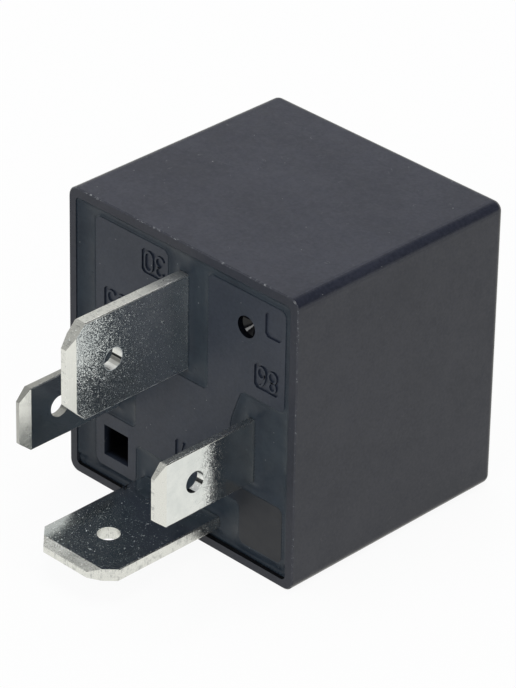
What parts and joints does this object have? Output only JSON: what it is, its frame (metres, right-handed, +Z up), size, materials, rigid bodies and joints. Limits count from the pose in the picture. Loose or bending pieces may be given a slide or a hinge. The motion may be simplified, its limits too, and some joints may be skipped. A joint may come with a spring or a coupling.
{
  "type": "automotive relay",
  "caption": "Sealed cube automotive relay with push-on blade terminals, lying on one side of its dark plastic cover.",
  "frame": {"origin": "middle of the object's footprint, on the surface it lies on", "axes": "-Y is the way the blades point, +Y the closed end of the cover, +Z up, +X towards the coil terminal 86"},
  "size_m": [0.0282, 0.0394, 0.0293],
  "materials": {
    "cover_plastic": "dark grey glass-filled nylon, satin",
    "base_plastic": "dark blue-grey nylon, satin",
    "compound": "cured dark epoxy, smooth",
    "tin_plate": "tin-plated copper alloy, mottled",
    "zinc_steel": "zinc-plated soft iron",
    "bobbin_plastic": "natural nylon",
    "enamelled_copper": "enamelled copper wire",
    "rivet_brass": "plain brass",
    "spring_bronze": "rolled spring bronze",
    "contact_silver": "silver alloy",
    "bare_copper": "bare copper braid"
  },
  "bodies": {
    "housing": {"cover": "cover_plastic", "base_plate": "base_plastic", "sealing_compound": "compound", "terminal_30": "tin_plate", "terminal_85": "tin_plate", "terminal_86": "tin_plate", "terminal_87": "tin_plate", "yoke": "zinc_steel", "core": "zinc_steel", "backstop": "tin_plate", "bobbin": "bobbin_plastic", "coil_winding": "enamelled_copper", "coil_lead_85": "enamelled_copper", "coil_lead_86": "enamelled_copper", "yoke_rivets": "rivet_brass", "fixed_contact": "contact_silver"},
    "armature": {"armature": "zinc_steel", "armature_rivets": "rivet_brass", "contact_spring": "spring_bronze", "moving_contact": "contact_silver", "shunt_braid": "bare_copper"}
  },
  "joints": [
    {"name": "armature_hinge", "type": "hinge", "parent": "housing", "child": "armature", "pos_m": [0, 0.01314, 0.02705], "axis": [-1, 0, 0], "range_deg": [0, 2.31], "stiffness_Nm_per_rad": 0.4, "springref_deg": -1.72, "deforming": ["contact_spring", "shunt_braid"]}
  ]
}
